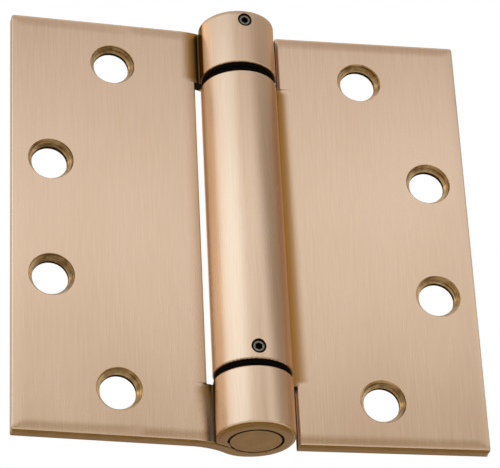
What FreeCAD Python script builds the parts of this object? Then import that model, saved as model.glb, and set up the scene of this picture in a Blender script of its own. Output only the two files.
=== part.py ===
import FreeCAD, Part
import math
import os

# Spring loaded door hinge, full mortise, three knuckles, 4-1/2 by 4-1/2 inch.
# Millimetres and degrees. The pin axis is +Z and the origin is on it, halfway up the leaves.
# The leaf with the long middle barrel lies along +X, with its finished face towards -Y.
# The leaf with the two short end knuckles lies along -X and swings about the pin axis.

# Leaves
leaf_height = 114.3
open_width = 114.3
leaf_thickness = 3.0
face_setback = 1.9
leaf_edge_room = 1.075
open_angle = 175.9
corner_round = 0.8
edge_round = 0.7

# Screw holes, in two staggered columns on each leaf
outer_hole_from_side = 9.55
inner_hole_from_side = 25.4
outer_hole_rise = 15.875
inner_hole_from_end = 12.3
screw_hole_diameter = 8.85
countersink_diameter = 11.1
countersink_depth = 1.9

# Rolled knuckles
barrel_diameter = 19.05
bend_radius = 17.0
lip_gap = 0.12
lip_tip_thickness = 0.25
knuckle_length = 15.3
upper_bearing_gap = 2.4
lower_bearing_gap = 1.65
top_rim_round = 0.4
bottom_rim_round = 1.1
bearing_rim_round = 0.4
notch_clearance = 0.3
swing_clearance = 0.5

# Clearances between the inner pieces
running_clearance = 0.08
seat_clearance = 0.02
thrust_clearance = 0.15
turning_clearance = 0.3

# Bearings and thrust washers
band_inset = 0.275
upper_band_thickness = 1.15
upper_spigot_length = 6.0
lower_spigot_length = 1.0
thrust_washer_thickness = 0.8
washer_rim_round = 0.25

# Adjusting plug in the top knuckle
plug_shoulder = 2.525
plug_recess = 0.4
plug_chamfer = 0.45
adjuster_socket = 3.97
adjuster_socket_depth = 6.0
groove_depth = 0.6

# Spring driver on the lower end of the adjusting plug
driver_length = 8.0
driver_grip = 4.6
driver_pin_diameter = 1.8
driver_pin_set_in = 0.2

# Torsion spring and the rod inside it
wire_diameter = 2.4
coil_room = 0.825
coil_spacing = 1.06
tang_bend_radius = 1.6
tang_length = 2.4
tang_clearance = 0.4
rod_room = 1.1
rod_grip = 3.0
rod_bush_wall = 0.7
rod_bush_length = 3.5
spring_washer_thickness = 0.8

# Lower spring anchor and pivot plug
anchor_length = 13.5
pivot_reach = 7.6
pivot_bush_wall = 1.0
pivot_bush_length = 8.0

# Set screws
set_screw_diameter = 3.5
set_screw_socket = 1.6
set_screw_socket_depth = 1.5
set_screw_point_diameter = 2.2
set_screw_point_length = 0.7
set_screw_sunk = 0.25
top_set_screw_drop = 2.7
barrel_set_screw_rise = 3.3

# Working values: how far a cutting shape reaches past a surface, and how near counts as level
past = 1.0
nearly = 0.001

# Levels along the pin axis
leaf_top = leaf_height / 2
leaf_bottom = -leaf_height / 2
top_knuckle_bottom = leaf_top - knuckle_length
bottom_knuckle_top = leaf_bottom + knuckle_length
barrel_top = top_knuckle_bottom - upper_bearing_gap
barrel_bottom = bottom_knuckle_top + lower_bearing_gap
upper_spigot_end = barrel_top - upper_spigot_length
lower_spigot_end = barrel_bottom + lower_spigot_length
driver_top = upper_spigot_end - turning_clearance
driver_bottom = driver_top - driver_length
upper_washer_bottom = driver_bottom - spring_washer_thickness
anchor_top = lower_spigot_end + anchor_length
lower_washer_top = anchor_top + spring_washer_thickness
top_set_screw_z = leaf_top - top_set_screw_drop
barrel_set_screw_z = barrel_bottom + barrel_set_screw_rise

# Radii and section sizes that follow from the driving ones
outer_radius = barrel_diameter / 2
bore_radius = outer_radius - leaf_thickness
roll_radius = outer_radius - leaf_thickness / 2
leaf_middle_y = face_setback + leaf_thickness / 2
leaf_back_y = face_setback + leaf_thickness
leaf_reach = open_width / 2
leaf_inner_edge = outer_radius + leaf_edge_room
band_radius = outer_radius - band_inset
journal_radius = bore_radius - plug_shoulder
journal_bore = journal_radius + running_clearance
wire_radius = wire_diameter / 2
coil_radius = bore_radius - coil_room - wire_radius
rod_radius = coil_radius - wire_radius - rod_room
screw_radius = set_screw_diameter / 2
point_radius = set_screw_point_diameter / 2
loose_radius = bore_radius - turning_clearance

# The sheet bends back from the leaf on one arc and rolls into the knuckle on another.
# The two arcs touch on the line between their centres.
bend_centre_y = leaf_middle_y + bend_radius
centre_distance = roll_radius + bend_radius
bend_start_x = math.sqrt(centre_distance ** 2 - bend_centre_y ** 2)
bend_turn = math.degrees(math.atan2(bend_start_x, bend_centre_y))
lip_reach = bend_radius + leaf_thickness / 2 + lip_gap
lip_tip_radius = bore_radius + lip_tip_thickness
lip_sides = lip_tip_radius ** 2 + centre_distance ** 2 - lip_reach ** 2
lip_cosine = lip_sides / (2 * lip_tip_radius * centre_distance)
roll_start = 90 - bend_turn
roll_sweep = 360 - math.degrees(math.acos(lip_cosine))

# Coil of the spring, closely wound between its two washers
coil_bottom = lower_washer_top + wire_radius + seat_clearance
coil_top = upper_washer_bottom - wire_radius - running_clearance
coil_height = coil_top - coil_bottom
coil_turns = math.floor(2 * coil_height / (wire_diameter * coil_spacing)) / 2
coil_pitch = coil_height / coil_turns
coil_slope = math.atan2(coil_pitch, 2 * math.pi * coil_radius)
tang_side = tang_bend_radius * (1 - math.sin(coil_slope))
tang_radius = math.hypot(coil_radius, tang_side)
tang_angle = math.degrees(math.atan2(tang_side, coil_radius))
upper_tang_angle = -360 * coil_turns - tang_angle
tang_slot_depth = tang_bend_radius + tang_length - wire_radius + turning_clearance - spring_washer_thickness

axis_z = FreeCAD.Vector(0, 0, 1)
origin = FreeCAD.Vector(0, 0, 0)
into_page = FreeCAD.Vector(0, 1, 0)


def rod(radius, z_low, z_high):
    return Part.makeCylinder(radius, z_high - z_low, FreeCAD.Vector(0, 0, z_low))


def tube(outer, inner, z_low, z_high):
    return rod(outer, z_low, z_high).cut(rod(inner, z_low - past, z_high + past))


def box_between(x_low, x_high, y_low, y_high, z_low, z_high):
    corner = FreeCAD.Vector(x_low, y_low, z_low)
    return Part.makeBox(x_high - x_low, y_high - y_low, z_high - z_low, corner)


def turned(shape, degrees):
    copy = shape.copy()
    copy.rotate(origin, axis_z, degrees)
    return copy


def with_swinging_leaf(shape):
    # The leaf on the -X side stands a few degrees short of flat.
    return turned(shape, 180 - open_angle)


def mirrored_left(shape):
    return shape.mirror(origin, FreeCAD.Vector(1, 0, 0))


def hexagon(across_flats, z_low, z_high):
    corner_radius = across_flats / math.sqrt(3)
    corners = []
    for step in range(7):
        angle = math.radians(60 * step)
        x = corner_radius * math.cos(angle)
        y = corner_radius * math.sin(angle)
        corners.append(FreeCAD.Vector(x, y, z_low))
    face = Part.Face(Part.makePolygon(corners))
    return face.extrude(FreeCAD.Vector(0, 0, z_high - z_low))


def edges_where(shape, test):
    return [edge for edge in shape.Edges if test(edge)]


def washer(outer, inner, z_low, z_high):
    # A punched washer with its outer edges eased.
    ring = tube(outer, inner, z_low, z_high)
    ease = min(washer_rim_round, (z_high - z_low) / 3)
    rims = edges_where(ring, lambda edge: edge.BoundBox.XLength > 2 * outer - ease)
    return ring.makeFillet(ease, rims)


# Sheet metal of the leaves

def plate():
    # The flat of a leaf, from its inner edge outwards, with the front edges polished round.
    flat = box_between(leaf_inner_edge, leaf_reach, face_setback, leaf_back_y, leaf_bottom, leaf_top)

    def is_outer_corner(edge):
        box = edge.BoundBox
        return box.XMin > leaf_reach - nearly and box.YLength > leaf_thickness - nearly

    def is_front_rim(edge):
        box = edge.BoundBox
        on_front = box.YMax < face_setback + nearly
        return on_front and box.XMax > leaf_inner_edge + nearly

    flat = flat.makeFillet(corner_round, edges_where(flat, is_outer_corner))
    return flat.makeFillet(edge_round, edges_where(flat, is_front_rim))


def bend(z_low, z_high):
    # The arc of sheet between the flat leaf and the rolled knuckle.
    centre = FreeCAD.Vector(bend_start_x, bend_centre_y, z_low)
    half_sheet = leaf_thickness / 2

    def on_arc(radius, turn):
        angle = math.radians(turn)
        return centre + FreeCAD.Vector(-radius * math.sin(angle), -radius * math.cos(angle), 0)

    inner = bend_radius - half_sheet
    outer = bend_radius + half_sheet
    front = Part.Arc(on_arc(outer, 0), on_arc(outer, bend_turn / 2), on_arc(outer, bend_turn)).toShape()
    back = Part.Arc(on_arc(inner, bend_turn), on_arc(inner, bend_turn / 2), on_arc(inner, 0)).toShape()
    to_back = Part.makeLine(on_arc(outer, bend_turn), on_arc(inner, bend_turn))
    to_front = Part.makeLine(on_arc(inner, 0), on_arc(outer, 0))
    face = Part.Face(Part.Wire([front, to_back, back, to_front]))
    return face.extrude(FreeCAD.Vector(0, 0, z_high - z_low))


def softened_bend(z_low, z_high, rim_z):
    # The bend of an end knuckle, with its rim at the end of the hinge rounded like the leaf.
    sheet = bend(z_low, z_high)

    def is_front_rim(edge):
        box = edge.BoundBox
        on_rim = box.ZLength < nearly and abs(box.ZMin - rim_z) < nearly
        return on_rim and box.YMin < face_setback + nearly and box.XLength > leaf_thickness

    return sheet.makeFillet(edge_round, edges_where(sheet, is_front_rim))


def lip_scarf(z_low, z_high):
    # The room that the bend takes in front of the lip, with the gap between them.
    # The lip is tapered against it, so that it closes the ring and lies along the sheet.
    centre = FreeCAD.Vector(bend_start_x, bend_centre_y, z_low - past)
    room = Part.makeCylinder(lip_reach, z_high - z_low + 2 * past, centre, axis_z, 90)
    room.rotate(centre, axis_z, 180 + roll_start)
    return room


def roll(z_low, z_high, low_round, high_round):
    # The rolled knuckle itself, a ring with rounded outer rims and a tapered lip.
    low_start = FreeCAD.Vector(bore_radius, 0, z_low)
    low_end = FreeCAD.Vector(outer_radius - low_round, 0, z_low)
    low_side = FreeCAD.Vector(outer_radius, 0, z_low + low_round)
    high_side = FreeCAD.Vector(outer_radius, 0, z_high - high_round)
    high_end = FreeCAD.Vector(outer_radius - high_round, 0, z_high)
    high_start = FreeCAD.Vector(bore_radius, 0, z_high)
    slant = math.sqrt(0.5)
    low_middle = low_end + FreeCAD.Vector(low_round * slant, 0, low_round * (1 - slant))
    high_middle = high_end + FreeCAD.Vector(high_round * slant, 0, -high_round * (1 - slant))
    outline = Part.Wire([
        Part.makeLine(low_start, low_end),
        Part.Arc(low_end, low_middle, low_side).toShape(),
        Part.makeLine(low_side, high_side),
        Part.Arc(high_side, high_middle, high_end).toShape(),
        Part.makeLine(high_end, high_start),
        Part.makeLine(high_start, low_start),
    ])
    section = turned(Part.Face(outline), roll_start)
    ring = section.revolve(origin, axis_z, roll_sweep)
    return ring.cut(lip_scarf(z_low, z_high))


def screw_holes():
    # Countersunk from the finished face, two near the pin and two further out.
    hole_radius = screw_hole_diameter / 2
    slope = (countersink_diameter / 2 - hole_radius) / countersink_depth
    mouth_radius = countersink_diameter / 2 + slope * past
    places = []
    for end in (-1, 1):
        places.append((leaf_reach - inner_hole_from_side, end * (leaf_top - inner_hole_from_end)))
        places.append((leaf_reach - outer_hole_from_side, end * outer_hole_rise))
    tools = []
    for x, z in places:
        start = FreeCAD.Vector(x, face_setback - past, z)
        cone = Part.makeCone(mouth_radius, hole_radius, countersink_depth + past, start, into_page)
        hole = Part.makeCylinder(hole_radius, leaf_thickness + 2 * past, start, into_page)
        tools.append(cone.fuse(hole))
    return tools


def set_screw_hole(z):
    start = FreeCAD.Vector(0, -outer_radius - past, z)
    depth = leaf_thickness + 2 * past
    return Part.makeCylinder(screw_radius + seat_clearance, depth, start, into_page)


def window(z_low, z_high):
    # Clears the plate where the sheet bends away towards a knuckle.
    inner = leaf_inner_edge - past
    return box_between(inner, bend_start_x, face_setback - past, leaf_back_y + past, z_low, z_high)


def one_solid(pieces):
    body = pieces[0]
    for piece in pieces[1:]:
        body = body.fuse(piece)
    return body.removeSplitter()


def barrel_leaf():
    notch_top = top_knuckle_bottom - notch_clearance
    notch_bottom = bottom_knuckle_top + notch_clearance
    flat = plate().cut(window(notch_bottom, notch_top))
    sheet = bend(notch_bottom, notch_top)
    bearing_room = outer_radius + swing_clearance
    sheet = sheet.cut(rod(bearing_room, barrel_top, notch_top + past))
    sheet = sheet.cut(rod(bearing_room, notch_bottom - past, barrel_bottom))
    barrel = roll(barrel_bottom, barrel_top, bearing_rim_round, bearing_rim_round)
    leaf = one_solid([flat, sheet, barrel])
    return leaf.cut(screw_holes() + [set_screw_hole(barrel_set_screw_z)])


def knuckle_leaf():
    flat = plate()
    flat = flat.cut(window(top_knuckle_bottom, leaf_top + past))
    flat = flat.cut(window(leaf_bottom - past, bottom_knuckle_top))
    top_bend = softened_bend(top_knuckle_bottom, leaf_top, leaf_top)
    bottom_bend = softened_bend(leaf_bottom, bottom_knuckle_top, leaf_bottom)
    top_knuckle = roll(top_knuckle_bottom, leaf_top, bearing_rim_round, top_rim_round)
    bottom_knuckle = roll(leaf_bottom, bottom_knuckle_top, bottom_rim_round, bearing_rim_round)
    leaf = one_solid([flat, top_bend, top_knuckle, bottom_bend, bottom_knuckle])
    leaf = leaf.cut(screw_holes() + [set_screw_hole(top_set_screw_z)])
    return with_swinging_leaf(mirrored_left(leaf))


# Bearings between the knuckles

def upper_bearing():
    # Flanged bush in the top of the barrel. The journal of the adjusting plug turns in it.
    flange = washer(band_radius, journal_bore, barrel_top, barrel_top + upper_band_thickness)
    spigot = tube(bore_radius - seat_clearance, journal_bore, upper_spigot_end, barrel_top)
    return one_solid([flange, spigot])


def upper_bearing_washer():
    # Hard washer under the top knuckle, which runs on the bearing's flange.
    inner = journal_radius + turning_clearance
    low = barrel_top + upper_band_thickness + thrust_clearance
    return with_swinging_leaf(washer(band_radius, inner, low, top_knuckle_bottom))


def lower_bearing():
    # Flanged bush in the bottom of the barrel, round the pivot plug's journal.
    low = bottom_knuckle_top + thrust_clearance
    flange = washer(band_radius, journal_bore, low, barrel_bottom)
    spigot = tube(bore_radius - seat_clearance, journal_bore, barrel_bottom, lower_spigot_end)
    return one_solid([flange, spigot])


# Adjusting plug, its washer and the driver that winds the spring

adjuster_washer_bottom = top_knuckle_bottom + thrust_clearance
adjuster_head_bottom = adjuster_washer_bottom + thrust_washer_thickness
adjuster_head_top = leaf_top - plug_recess
journal_end = driver_top - driver_grip


def adjusting_plug():
    head_radius = bore_radius - running_clearance
    head = rod(head_radius, adjuster_head_bottom, adjuster_head_top)
    rim = edges_where(head, lambda edge: edge.BoundBox.ZMin > adjuster_head_top - nearly)
    head = head.makeChamfer(plug_chamfer, rim)
    groove_half = point_radius + turning_clearance
    groove_low = top_set_screw_z - groove_half
    groove_high = top_set_screw_z + groove_half
    head = head.cut(tube(outer_radius, head_radius - groove_depth, groove_low, groove_high))
    plug = one_solid([head, rod(journal_radius, journal_end, adjuster_head_bottom)])
    socket_floor = adjuster_head_top - adjuster_socket_depth
    plug = plug.cut(hexagon(adjuster_socket, socket_floor, adjuster_head_top + past))
    return with_swinging_leaf(plug.cut(driver_pin_shape(seat_clearance, past)))


def driver_pin_shape(growth, past_end):
    # The cross pin through the driver and the plug's journal, lying along Y.
    half = loose_radius - driver_pin_set_in + past_end
    z = driver_top - driver_grip / 2
    start = FreeCAD.Vector(0, -half, z)
    return Part.makeCylinder(driver_pin_diameter / 2 + growth, 2 * half, start, into_page)


def driver_pin():
    return with_swinging_leaf(driver_pin_shape(0, 0))


def adjuster_thrust_washer():
    inner = journal_radius + seat_clearance
    return with_swinging_leaf(washer(loose_radius, inner, adjuster_washer_bottom, adjuster_head_bottom))


def tang_slot(angle, z_low, z_high):
    # A slot open to the side, which takes the straight end of the spring.
    inner = tang_radius - wire_radius - tang_clearance / 2
    half_width = wire_radius + tang_clearance
    slot = box_between(inner, outer_radius, -half_width, half_width, z_low, z_high)
    return turned(slot, angle)


def spring_driver():
    collar = rod(loose_radius, driver_bottom, driver_top)
    collar = collar.cut(rod(journal_radius + seat_clearance, journal_end, driver_top + past))
    rod_top = driver_bottom + rod_grip
    collar = collar.cut(rod(rod_radius + seat_clearance, driver_bottom - past, rod_top))
    slot_top = driver_bottom + tang_slot_depth
    collar = collar.cut(tang_slot(upper_tang_angle, driver_bottom - past, slot_top))
    pin_angle = 180 - open_angle
    return collar.cut(turned(driver_pin_shape(seat_clearance, past), pin_angle))


def guide_rod():
    # Keeps the long spring straight. It is pressed into the driver and steadied in the anchor.
    tip = anchor_top - rod_bush_length
    return rod(rod_radius, tip, driver_bottom + rod_grip - running_clearance)


def spring_washer(z_low, z_high, slot_angle):
    ring = tube(loose_radius, rod_radius + turning_clearance, z_low, z_high)
    return ring.cut(tang_slot(slot_angle, z_low - past, z_high + past))


def upper_spring_washer():
    return spring_washer(upper_washer_bottom, driver_bottom, upper_tang_angle)


def lower_spring_washer():
    return spring_washer(anchor_top, lower_washer_top, tang_angle)


def torsion_spring():
    # A close wound coil of round wire with a straight tang at each end.
    # It is built right handed and then mirrored, so that opening the door winds it up.
    start = FreeCAD.Vector(coil_radius, 0, coil_bottom)
    along = FreeCAD.Vector(0, math.cos(coil_slope), math.sin(coil_slope))
    helix = Part.makeHelix(coil_pitch, coil_height, coil_radius)
    helix.translate(FreeCAD.Vector(0, 0, coil_bottom))
    section = Part.Wire([Part.makeCircle(wire_radius, start, along)])
    coil = Part.Wire(helix.Edges).makePipeShell([section], True, True)

    disc = Part.Face(Part.Wire([Part.makeCircle(wire_radius, start, along)]))
    down_side = FreeCAD.Vector(0, math.sin(coil_slope), -math.cos(coil_slope))
    bend_centre = start + down_side * tang_bend_radius
    elbow = disc.revolve(bend_centre, FreeCAD.Vector(1, 0, 0), 90 - math.degrees(coil_slope))
    leg_start = bend_centre + FreeCAD.Vector(0, -tang_bend_radius, 0)
    leg = Part.makeCylinder(wire_radius, tang_length, leg_start, FreeCAD.Vector(0, 0, -1))
    lower_end = elbow.fuse(leg)

    half_turn = math.radians(180 * coil_turns)
    flip_axis = FreeCAD.Vector(math.cos(half_turn), math.sin(half_turn), 0)
    upper_end = lower_end.copy()
    upper_end.rotate(FreeCAD.Vector(0, 0, coil_bottom + coil_height / 2), flip_axis, 180)
    whole = coil.fuse([lower_end, upper_end])
    return whole.mirror(origin, into_page)


# Lower spring anchor, its bushes and the pivot plug

pivot_tip = lower_spigot_end + pivot_reach


def lower_spring_anchor():
    # Held in the barrel by the lower set screw, whose point stands in a hole in its side.
    outer = bore_radius - seat_clearance
    anchor = rod(outer, lower_spigot_end, anchor_top)
    pivot_room = lower_spigot_end + pivot_bush_length
    pivot_room_radius = journal_bore + pivot_bush_wall + seat_clearance
    anchor = anchor.cut(rod(pivot_room_radius, lower_spigot_end - past, pivot_room))
    bush_radius = rod_radius + running_clearance + rod_bush_wall
    bush_bottom = anchor_top - rod_bush_length
    anchor = anchor.cut(rod(bush_radius + seat_clearance, bush_bottom, anchor_top + past))
    anchor = anchor.cut(tang_slot(tang_angle, anchor_top - tang_slot_depth, anchor_top + past))
    start = FreeCAD.Vector(0, -outer_radius, barrel_set_screw_z)
    depth = outer_radius - bore_radius + set_screw_point_length
    dimple = Part.makeCylinder(point_radius + running_clearance, depth, start, into_page)
    return anchor.cut(dimple)


def rod_tip_bush():
    inner = rod_radius + running_clearance
    bottom = anchor_top - rod_bush_length
    return tube(inner + rod_bush_wall, inner, bottom, anchor_top)


def pivot_bush():
    top = lower_spigot_end + pivot_bush_length
    return tube(journal_bore + pivot_bush_wall, journal_bore, lower_spigot_end, top)


lower_washer_bottom = bottom_knuckle_top - thrust_washer_thickness


def pivot_plug():
    # Driven into the bottom knuckle, flush with its end. Its journal carries the barrel.
    head = rod(bore_radius - seat_clearance, leaf_bottom, lower_washer_bottom)
    rim = edges_where(head, lambda edge: edge.BoundBox.ZMax < leaf_bottom + nearly)
    head = head.makeChamfer(plug_chamfer, rim)
    return with_swinging_leaf(one_solid([head, rod(journal_radius, lower_washer_bottom, pivot_tip)]))


def pivot_thrust_washer():
    inner = journal_radius + seat_clearance
    return with_swinging_leaf(washer(loose_radius, inner, lower_washer_bottom, bottom_knuckle_top))


# Socket set screws

def set_screw(z, point_reach):
    # Lies along Y with its socket towards -Y. Built along Z first, with the socket at the bottom.
    shank_length = leaf_thickness - set_screw_sunk
    shank = rod(screw_radius, 0, shank_length)
    shank = shank.cut(hexagon(set_screw_socket, -past, set_screw_socket_depth))
    screw = one_solid([shank, rod(point_radius, shank_length, shank_length + point_reach)])
    screw.rotate(origin, FreeCAD.Vector(1, 0, 0), -90)
    screw.translate(FreeCAD.Vector(0, -outer_radius + set_screw_sunk, z))
    return screw


def top_set_screw():
    # The point stops just short of the floor of the groove in the adjusting plug.
    reach = running_clearance + groove_depth - turning_clearance
    return with_swinging_leaf(set_screw(top_set_screw_z, reach))


def barrel_set_screw():
    return set_screw(barrel_set_screw_z, set_screw_point_length - running_clearance)


nodes = {
    "barrel_leaf": barrel_leaf,
    "knuckle_leaf": knuckle_leaf,
    "upper_bearing": upper_bearing,
    "upper_bearing_washer": upper_bearing_washer,
    "lower_bearing": lower_bearing,
    "adjusting_plug": adjusting_plug,
    "adjuster_thrust_washer": adjuster_thrust_washer,
    "spring_driver": spring_driver,
    "driver_pin": driver_pin,
    "guide_rod": guide_rod,
    "upper_spring_washer": upper_spring_washer,
    "torsion_spring": torsion_spring,
    "lower_spring_washer": lower_spring_washer,
    "lower_spring_anchor": lower_spring_anchor,
    "rod_tip_bush": rod_tip_bush,
    "pivot_bush": pivot_bush,
    "pivot_plug": pivot_plug,
    "pivot_thrust_washer": pivot_thrust_washer,
    "top_set_screw": top_set_screw,
    "barrel_set_screw": barrel_set_screw,
}

os.makedirs("parts", exist_ok=True)
for name, make in nodes.items():
    shape = make()
    box = shape.BoundBox
    print(name, "solids", len(shape.Solids), "valid", shape.isValid(), "volume", round(shape.Volume, 2),
          "z", round(box.ZMin, 3), round(box.ZMax, 3))
    shape.exportStep("parts/" + name + ".step")
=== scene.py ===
# %% [markdown]
# A spring loaded door hinge, opened almost flat and seen from below on its left side. Both
# leaves are steel sheet, each rolled at one edge into knuckles, and plated in satin bronze.
# The construction model gives every piece its place, so this lesson only has to make the
# visible pieces smooth and finely edged, and to give each surface the finish of the real one.
# Everything is in metres, and the pin of the hinge stands on the Z axis.

# %% Load the construction model
import math

import bmesh
import bpy
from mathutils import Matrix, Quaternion, Vector


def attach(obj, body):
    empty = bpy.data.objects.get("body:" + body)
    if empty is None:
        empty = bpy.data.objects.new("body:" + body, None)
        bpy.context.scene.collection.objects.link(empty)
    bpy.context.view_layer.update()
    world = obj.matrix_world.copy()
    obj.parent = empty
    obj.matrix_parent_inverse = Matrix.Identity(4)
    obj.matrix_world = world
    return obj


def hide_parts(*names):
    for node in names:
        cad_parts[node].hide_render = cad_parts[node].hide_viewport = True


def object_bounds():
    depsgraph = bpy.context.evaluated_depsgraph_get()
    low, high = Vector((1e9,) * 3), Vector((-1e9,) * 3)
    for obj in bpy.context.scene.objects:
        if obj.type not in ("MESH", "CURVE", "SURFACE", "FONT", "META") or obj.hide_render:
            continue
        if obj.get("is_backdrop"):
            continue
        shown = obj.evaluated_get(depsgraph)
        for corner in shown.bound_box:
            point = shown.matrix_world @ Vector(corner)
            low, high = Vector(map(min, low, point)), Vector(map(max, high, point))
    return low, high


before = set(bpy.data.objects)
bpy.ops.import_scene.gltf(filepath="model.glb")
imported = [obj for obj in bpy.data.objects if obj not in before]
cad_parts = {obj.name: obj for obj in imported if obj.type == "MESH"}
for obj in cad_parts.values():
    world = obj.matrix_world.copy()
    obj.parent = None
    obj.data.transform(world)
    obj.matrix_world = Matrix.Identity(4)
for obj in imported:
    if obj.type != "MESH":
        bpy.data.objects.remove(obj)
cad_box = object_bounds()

MM = 0.001
print("construction box:", [[round(value, 5) for value in corner] for corner in cad_box])

# %% [markdown]
# The photograph was taken with a long lens from about 0.6 m away, below the hinge and to its
# left. The camera looks at a point close to the middle of the pin. A camera made this way
# stands upright, so it then leans a few degrees about its own line of sight.

# %% Camera at the photograph's place
camera_place = Vector((-0.10398, -0.52774, -0.29715))
camera_aim = Vector((0.00120, 0.00061, -0.00151))
camera_lean = math.radians(-2.92)

camera_data = bpy.data.cameras.new("camera")
camera_data.lens = 181.35
camera_data.sensor_width = 36.0
camera_data.clip_start = 0.01
camera = bpy.data.objects.new("camera", camera_data)
bpy.context.scene.collection.objects.link(camera)
upright = (camera_aim - camera_place).to_track_quat("-Z", "Y")
camera.rotation_mode = "QUATERNION"
camera.rotation_quaternion = upright @ Quaternion((0, 0, 1), camera_lean)
camera.location = camera_place
bpy.context.scene.camera = camera
print("camera is", round((camera_aim - camera_place).length, 3), "m from its aim")

# %% [markdown]
# A finish is easier to read as a sum than as a web of nodes. The class below holds one socket
# of a node tree, and adding or multiplying two of them adds the Math node that does it. Every
# other node comes from one method, which sets the node's own settings first and then fills or
# links its sockets.

# %% A socket that can be reckoned with
class Shade:
    def __init__(self, tree, socket=None):
        self.tree = tree
        self.socket = socket

    def node(self, kind, settings=None, sockets=None, output=0):
        made = self.tree.nodes.new(kind)
        for setting, value in (settings or {}).items():
            setattr(made, setting, value)
        for name, value in (sockets or {}).items():
            if isinstance(value, Shade):
                self.tree.links.new(value.socket, made.inputs[name])
            else:
                made.inputs[name].default_value = value
        socket = made.outputs[output] if made.outputs else None
        return Shade(self.tree, socket)

    def maths(self, operation, first, second):
        return self.node("ShaderNodeMath", {"operation": operation}, {0: first, 1: second})

    def __add__(self, other):
        return self.maths("ADD", self, other)

    def __sub__(self, other):
        return self.maths("SUBTRACT", self, other)

    def __rsub__(self, other):
        return self.maths("SUBTRACT", other, self)

    def __mul__(self, other):
        return self.maths("MULTIPLY", self, other)

    __radd__ = __add__
    __rmul__ = __mul__

    def vector(self, operation, other, output=0):
        sockets = {0: self, 1: other}
        return self.node("ShaderNodeVectorMath", {"operation": operation}, sockets, output)

    def noise(self, scale, detail=2.0):
        sockets = {"Vector": self.vector("MULTIPLY", scale), "Scale": 1.0, "Detail": detail}
        return self.node("ShaderNodeTexNoise", {}, sockets)

    def held(self, low, high):
        return self.maths("MINIMUM", self.maths("MAXIMUM", self, low), high)

    def ramped(self, low, high):
        sockets = {"Value": self, "From Min": low, "From Max": high}
        return self.node("ShaderNodeMapRange", {"interpolation_type": "SMOOTHSTEP"}, sockets)

    def blended(self, first, second):
        sockets = {"Factor": self, 6: first, 7: second}
        return self.node("ShaderNodeMix", {"data_type": "RGBA"}, sockets, output=2)


# %% [markdown]
# Each finish below is one Principled shader. What varies over the surface is its colour, its
# roughness and a very shallow relief, all from noise that reads the piece's own coordinates in
# metres. Noise that is squeezed in two directions and left long in the third becomes grain.

# %% The frame of a finish
def new_finish(name):
    material = bpy.data.materials.new(name)
    material.use_nodes = True
    material.node_tree.nodes.clear()
    return material, Shade(material.node_tree)


def close_finish(sheet, colour, metallic, roughness, relief, depth, fixed=None):
    bump = sheet.node("ShaderNodeBump", {}, {"Height": relief, "Distance": depth})
    sockets = {"Base Color": colour, "Metallic": metallic, "Roughness": roughness, "Normal": bump}
    sockets.update(fixed or {})
    surface = sheet.node("ShaderNodeBsdfPrincipled", {}, sockets)
    sheet.node("ShaderNodeOutputMaterial", {}, {"Surface": surface})


def object_place(sheet, turn=0.0):
    place = sheet.node("ShaderNodeTexCoord", {}, {}, "Object")
    if turn:
        place = sheet.node("ShaderNodeMapping", {}, {"Vector": place, "Rotation": (0, 0, turn)})
    return place


# %% [markdown]
# Satin bronze is plated steel that was brushed along the pin with a fine belt. Its grain is a
# third of a millimetre wide and a centimetre long, too faint to read as lines from a step
# away. It mostly widens the reflections across the grain, which the shader's anisotropy does.
# A slow cloud in the colour keeps the large flats from looking like one swatch. Each leaf also
# carries an attribute of painted shade, set further down: one on open metal, and falling to
# nothing in the folds beside the knuckles. On the way the shade is painted brown, made half
# matt so that the brown takes the lamps' light, and at last painted black.

# %% Satin bronze of the leaves and knuckles
bronze_light = (0.685, 0.515, 0.385, 1.0)
bronze_deep = (0.615, 0.445, 0.320, 1.0)
crease_shade_brown = (0.38, 0.19, 0.045, 1.0)
black = (0.0, 0.0, 0.0, 1.0)
metal_rim = {"Anisotropic": 0.8, "Specular IOR Level": 0.1, "Specular Tint": (1.0, 0.80, 0.58, 1.0)}


def satin_bronze():
    material, sheet = new_finish("satin_bronze_brushed")
    place = object_place(sheet)
    grain = place.noise((2600, 2600, 85), 3.0)
    hairs = place.noise((7000, 7000, 160), 1.0)
    cloud = place.noise((42, 42, 26), 1.0)
    tone = grain * 0.35 + hairs * 0.25 + cloud * 0.4
    colour = tone.ramped(0.3, 0.7).blended(bronze_deep, bronze_light)
    # painted shade of the folds: brown first, then black at the slit
    crease_shade = sheet.node("ShaderNodeAttribute", {"attribute_name": "crease_shade"}, {}, "Fac")
    colour = crease_shade.ramped(0.25, 1.0).blended(crease_shade_brown, colour)
    colour = crease_shade.ramped(0.0, 0.25).blended(black, colour)
    roughness = 0.21 + grain * 0.06 + cloud * 0.04
    relief = grain * 0.6 + hairs * 0.4
    # where the painted shade is brown, the metal is made half matt
    painted_shade_matt = crease_shade.ramped(0.1, 0.35) * (1.0 - crease_shade.ramped(0.4, 1.0))
    metallic = 1.0 - painted_shade_matt * 0.6
    close_finish(sheet, colour, metallic, roughness, relief, 9e-6, metal_rim)
    return material


# %% [markdown]
# The edges of the sheet were sheared and then dressed with the same belt, so their plating is
# a little thinner and browner, and their fine lines run along the edge. Their colour is also
# set darker than the face, partly as painted shade. The edges that face the barrel, and the
# ends of the folds, are painted near black as shade.

# %% Dressed edges of the sheet
def edge_bronze():
    material, sheet = new_finish("satin_bronze_edge_and_shade")
    place = object_place(sheet)
    lines = place.noise((260, 5200, 260), 2.0)
    cloud = place.noise((300, 300, 300), 2.0)
    tone = lines * 0.6 + cloud * 0.4
    # darker and browner than the face: partly the thinner plating, partly painted shade
    colour = tone.ramped(0.3, 0.7).blended((0.24, 0.125, 0.034, 1.0), (0.31, 0.17, 0.052, 1.0))
    roughness = 0.21 + lines * 0.12
    close_finish(sheet, colour, 1.0, roughness, lines, 15e-6)
    return material


# painted shade: a near black, matt finish laid on faces in slits, notches and holes
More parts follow.
